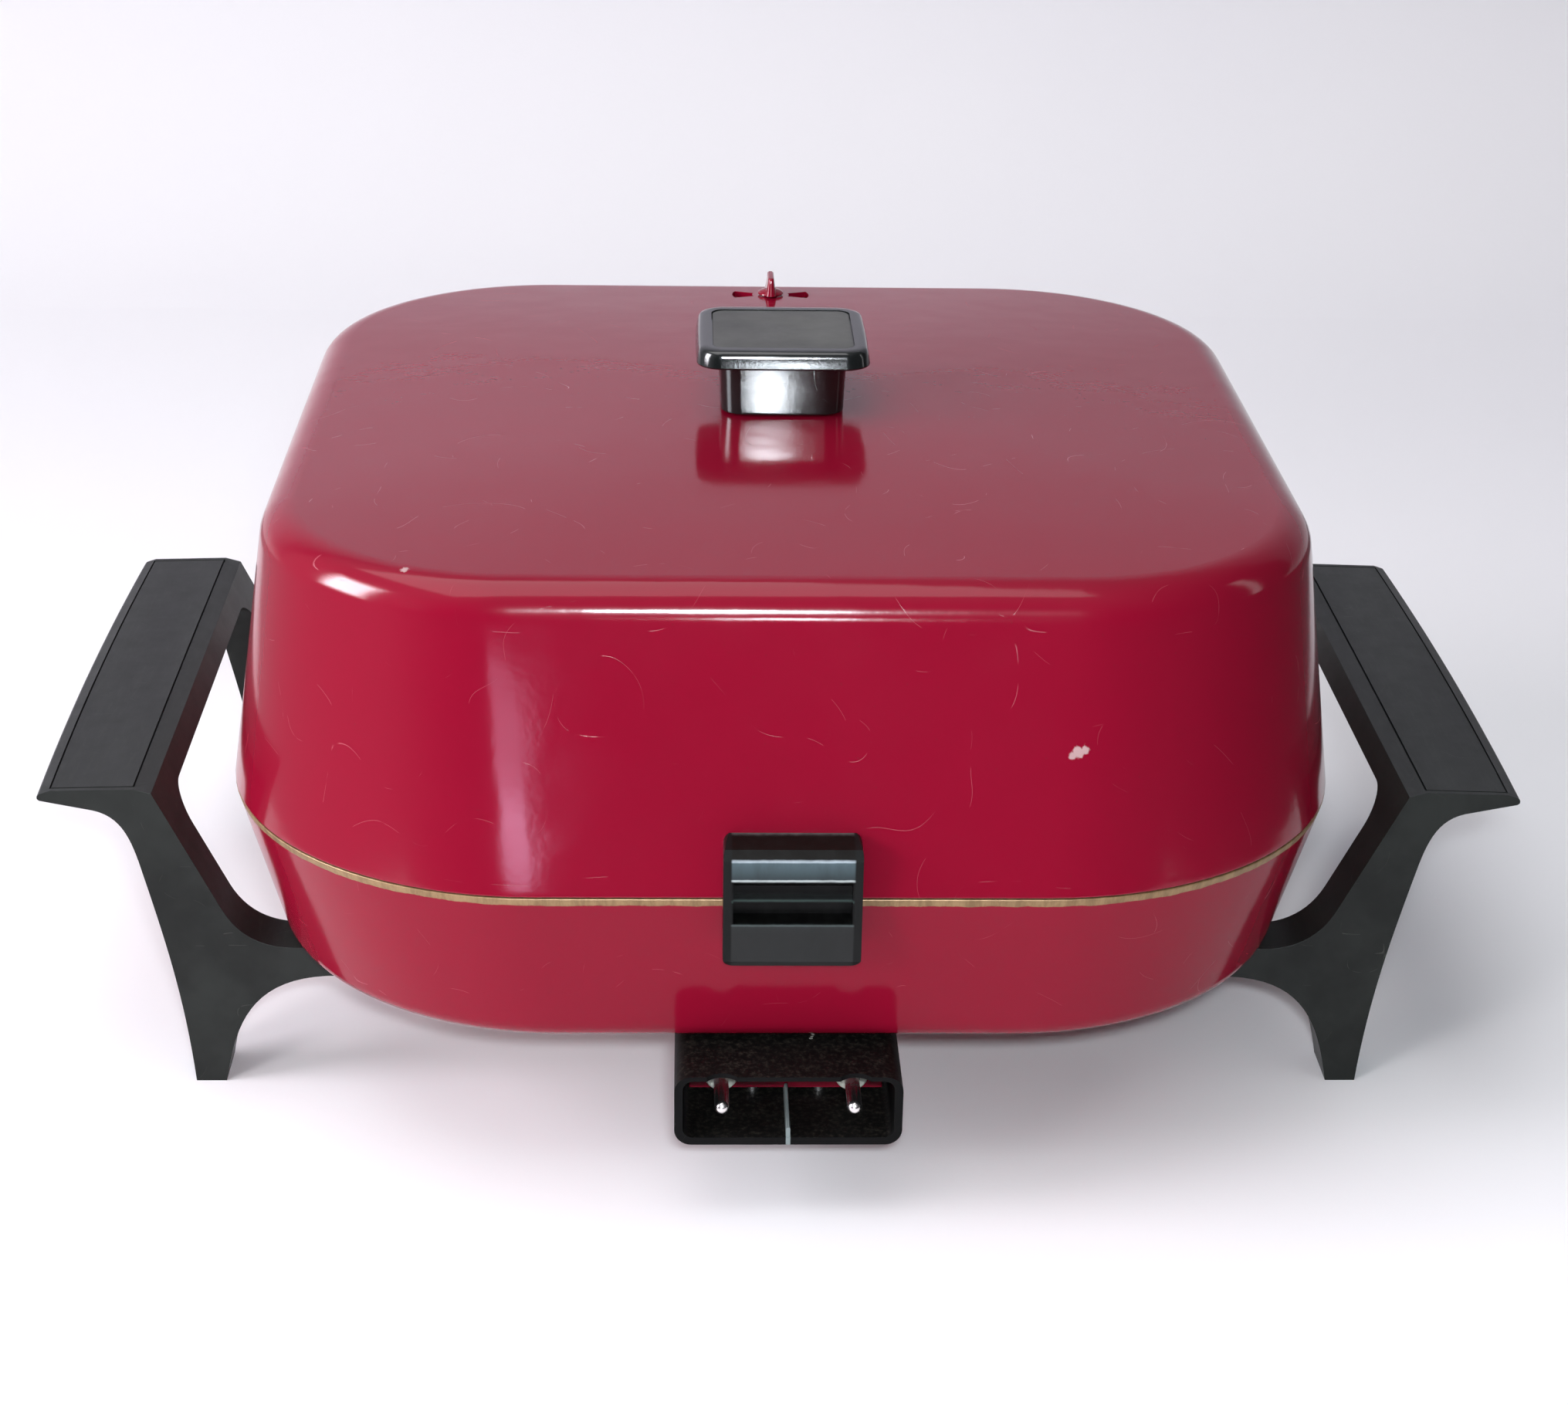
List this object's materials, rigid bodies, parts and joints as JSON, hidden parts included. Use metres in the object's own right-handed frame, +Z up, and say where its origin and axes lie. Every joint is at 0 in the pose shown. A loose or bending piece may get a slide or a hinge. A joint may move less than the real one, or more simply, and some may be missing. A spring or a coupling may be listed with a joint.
{
  "type": "electric frying pan",
  "caption": "Square electric griddle pan with a deep domed lid, side handles that double as legs, a guarded two-pin socket and a steam vent.",
  "frame": {"origin": "on the table under the middle of the object's bounding box, 3.65 mm in front of the pan's centre", "axes": "+X to the right-hand handle seen from the socket's side, +Y away from the socket, +Z up"},
  "size_m": [0.4132, 0.3134, 0.198],
  "materials": {
    "red_paint": "gloss",
    "black_phenolic": "satin",
    "gloss_phenolic": "gloss",
    "bright_steel": "polished",
    "element_sheath": "satin",
    "bare_aluminium": "satin",
    "ceramic": "matte"
  },
  "bodies": {
    "pan": {"pan_shell": "red_paint", "heating_element": "element_sheath", "socket_guard": "black_phenolic", "terminal_pin_left": "bright_steel", "terminal_pin_right": "bright_steel", "insulator_left": "ceramic", "insulator_right": "ceramic", "probe_well": "bare_aluminium", "guard_screw_left": "bright_steel", "guard_screw_right": "bright_steel", "handle_left": "black_phenolic", "handle_right": "black_phenolic", "handle_screw_left_front": "bright_steel", "handle_screw_left_rear": "bright_steel", "handle_screw_right_front": "bright_steel", "handle_screw_right_rear": "bright_steel"},
    "lid": {"lid_shell": "red_paint", "knob_post": "gloss_phenolic", "knob_cap": "gloss_phenolic", "knob_insert": "black_phenolic", "knob_washer": "bright_steel", "knob_screw": "bright_steel", "tilt_bracket": "black_phenolic", "bracket_screw_left": "bright_steel", "bracket_screw_right": "bright_steel"},
    "vent": {"vent_lever": "red_paint", "vent_shutter": "red_paint", "vent_washer": "bright_steel"}
  },
  "joints": [
    {"name": "lid_lift", "type": "slide", "parent": "pan", "child": "lid", "axis": [0, 0, 1], "range_m": [0, 0.2]},
    {"name": "vent_turn", "type": "hinge", "parent": "lid", "child": "vent", "pos_m": [0, 0.12465, 0.1736], "axis": [0, 0, 1], "range_deg": [0, 90]}
  ]
}
